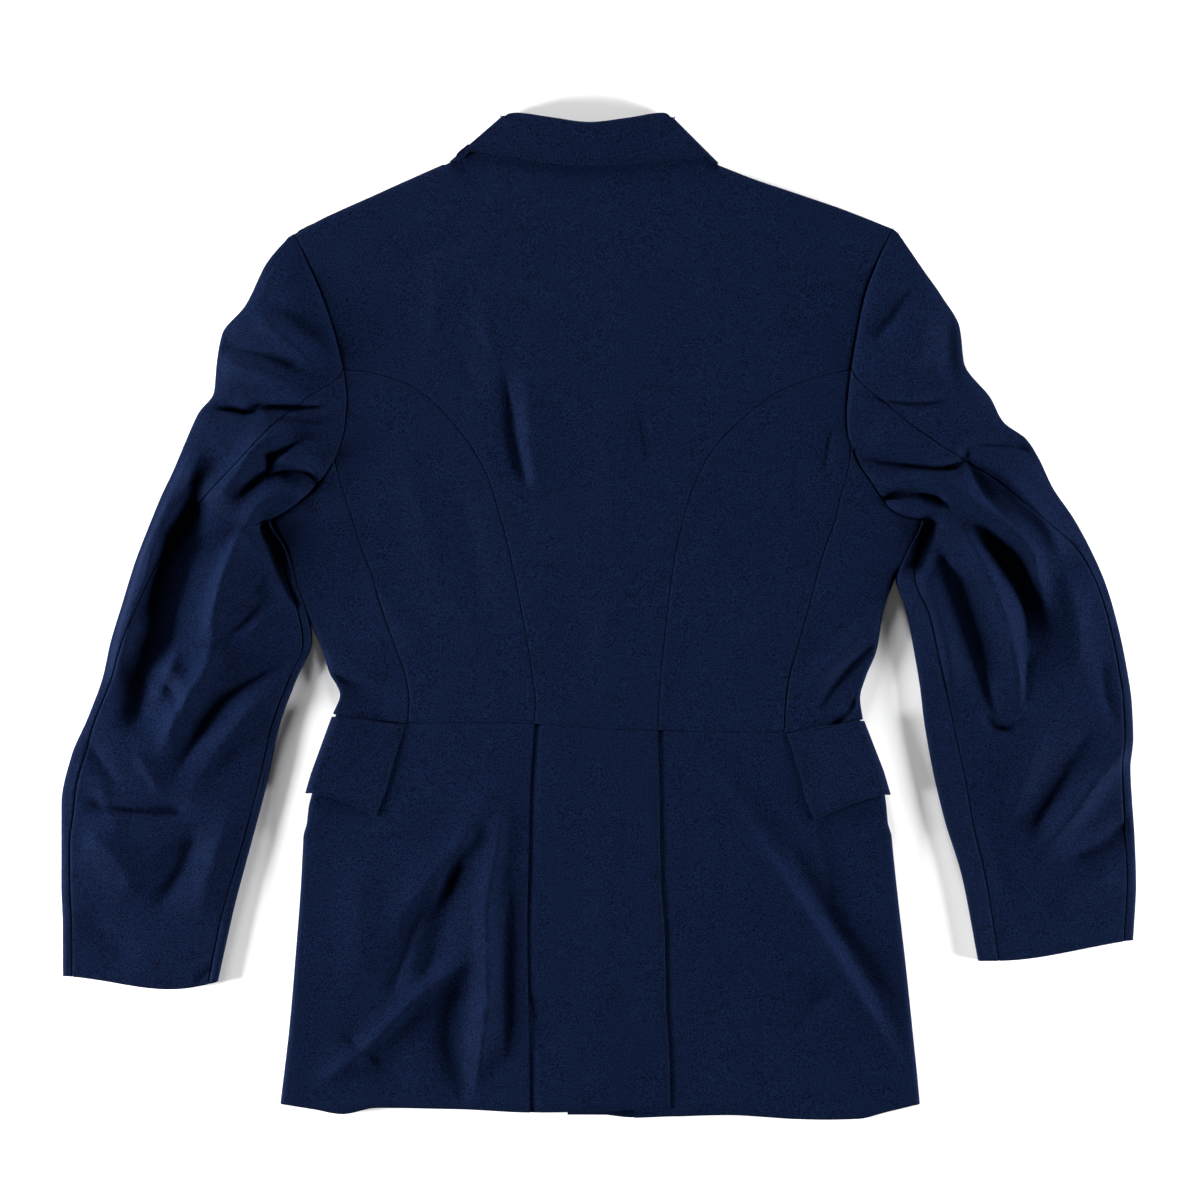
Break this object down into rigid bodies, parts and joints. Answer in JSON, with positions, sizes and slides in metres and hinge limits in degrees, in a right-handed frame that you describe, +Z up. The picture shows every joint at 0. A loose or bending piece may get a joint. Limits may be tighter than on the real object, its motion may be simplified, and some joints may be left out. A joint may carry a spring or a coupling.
{
  "type": "military dress tunic laid flat, back up",
  "caption": "Fitted dress tunic lying on its front: curved princess seams, waist seam, vented skirt, side pocket flaps, turned-down collar and two-piece sleeves.",
  "frame": {"origin": "middle of the laid-out tunic on the surface that it lies on", "axes": "+X to the right as seen from above its back, +Y towards the collar, +Z up out of the surface"},
  "size_m": [0.775, 0.7232, 0.0248],
  "materials": {
    "tunic_cloth": "smooth navy wool-blend barathea with a soft low sheen",
    "collar_cloth": "the same navy barathea, pressed and firmer",
    "button_plastic": "plain dark navy, satin"
  },
  "bodies": {
    "root": {"back_centre": "tunic_cloth", "back_side_left": "tunic_cloth", "back_side_right": "tunic_cloth", "front_left": "tunic_cloth", "front_right": "tunic_cloth", "skirt_back_centre": "tunic_cloth", "skirt_left": "tunic_cloth", "skirt_right": "tunic_cloth", "flap_left": "collar_cloth", "flap_right": "collar_cloth", "collar_fall": "collar_cloth", "collar_stand": "collar_cloth", "top_sleeve_left": "tunic_cloth", "top_sleeve_right": "tunic_cloth", "under_sleeve_left": "tunic_cloth", "under_sleeve_right": "tunic_cloth", "button_1": "button_plastic", "button_2": "button_plastic", "button_3": "button_plastic", "button_4": "button_plastic", "button_5": "button_plastic"}
  },
  "joints": []
}
